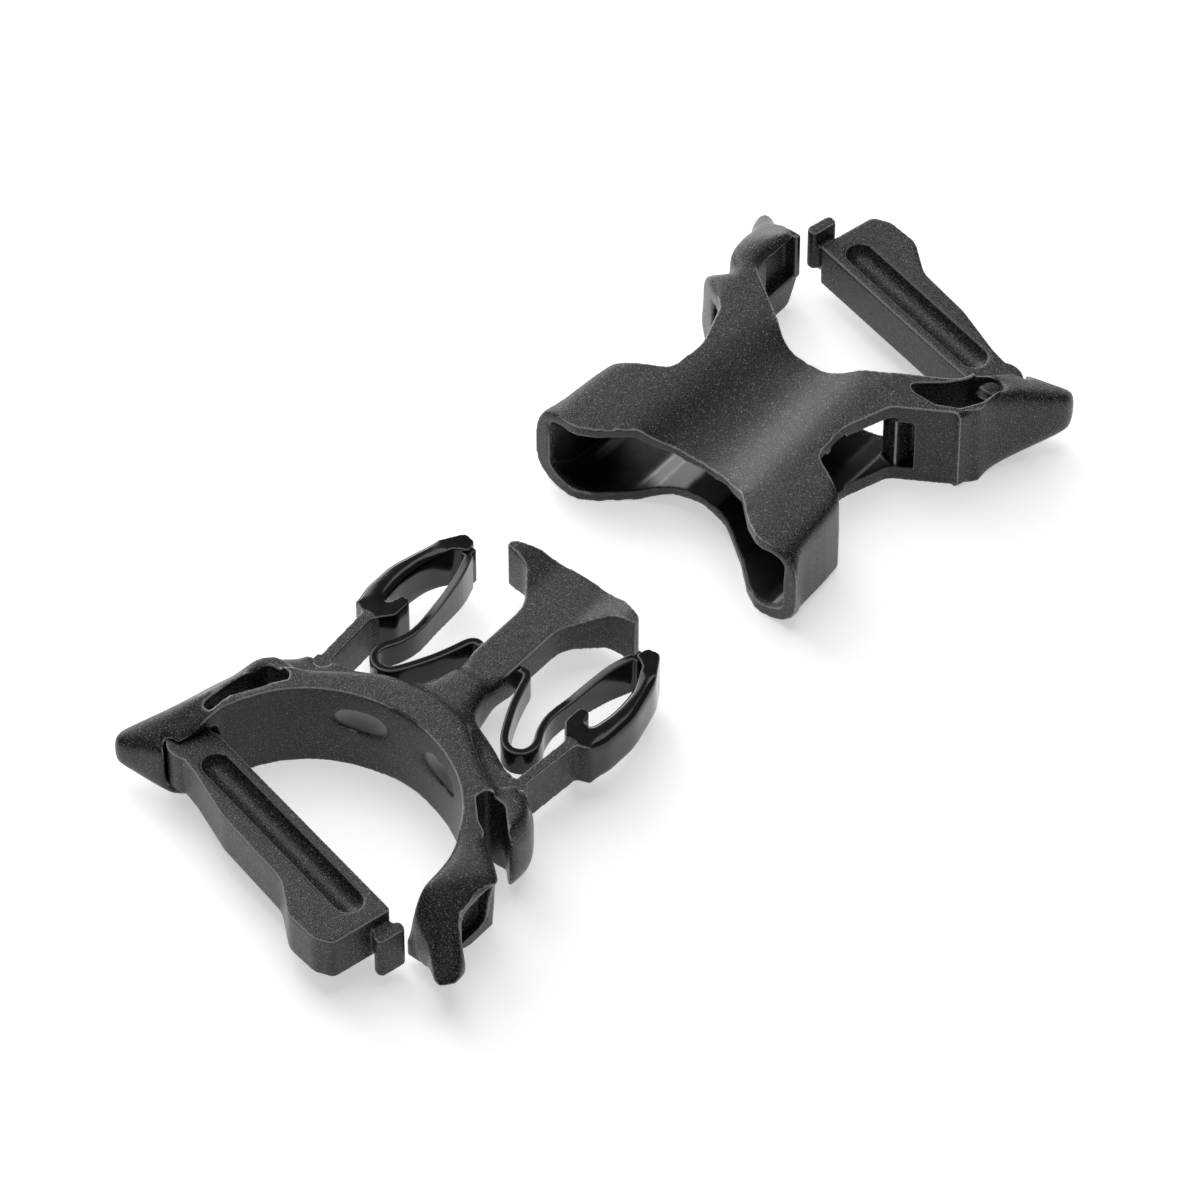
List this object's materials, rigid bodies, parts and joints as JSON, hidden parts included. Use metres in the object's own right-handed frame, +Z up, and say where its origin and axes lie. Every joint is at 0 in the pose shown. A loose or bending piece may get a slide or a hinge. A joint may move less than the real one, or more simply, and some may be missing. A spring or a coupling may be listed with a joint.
{
  "type": "side release buckle",
  "caption": "Side release buckle, unfastened: forked plug with sprung latches and hollow socket, each with a swing-out split bar for sew-free webbing.",
  "frame": {"origin": "middle of the bounding box, on the surface that both halves lie on", "axes": "+Y along the webbing, from the plug half to the socket half; +X across the webbing; +Z up from the surface"},
  "size_m": [0.0414, 0.0998, 0.0098],
  "materials": {
    "moulded_body": "black moulded acetal with a fine spark-eroded grain",
    "webbing_bar": "black moulded acetal with a fine spark-eroded grain",
    "smooth_latch": "smooth glossy black moulded acetal"
  },
  "bodies": {
    "plug": {"plug_frame": "moulded_body", "plug_spring_left": "smooth_latch", "plug_spring_right": "smooth_latch"},
    "latch_left": {"plug_latch_left": "smooth_latch"},
    "latch_right": {"plug_latch_right": "smooth_latch"},
    "plug_bar": {"plug_web_bar": "webbing_bar"},
    "socket": {"socket_housing": "moulded_body"},
    "socket_bar": {"socket_web_bar": "webbing_bar"}
  },
  "joints": [
    {"name": "latch_left_squeeze", "type": "hinge", "parent": "plug", "child": "latch_left", "pos_m": [-0.01135, -0.0253, 0.0049], "axis": [0, 0, 1], "range_deg": [-8, 0], "stiffness_Nm_per_rad": 0.1, "deforming": ["plug_spring_left"]},
    {"name": "latch_right_squeeze", "type": "hinge", "parent": "plug", "child": "latch_right", "pos_m": [0.01135, -0.0253, 0.0049], "axis": [0, 0, 1], "range_deg": [0, 8], "stiffness_Nm_per_rad": 0.1, "deforming": ["plug_spring_right"]},
    {"name": "plug_bar_swing", "type": "hinge", "parent": "plug", "child": "plug_bar", "pos_m": [-0.0142, -0.0398, 0.0049], "axis": [0, 0, 1], "range_deg": [-10, 12.8]},
    {"name": "socket_bar_swing", "type": "hinge", "parent": "socket", "child": "socket_bar", "pos_m": [0.0142, 0.04045, 0.0049], "axis": [0, 0, 1], "range_deg": [-10, 12.8]},
    {"name": "socket_slide", "type": "slide", "parent": "plug", "child": "socket", "axis": [0, -1, 0], "range_m": [0, 0.016]}
  ]
}
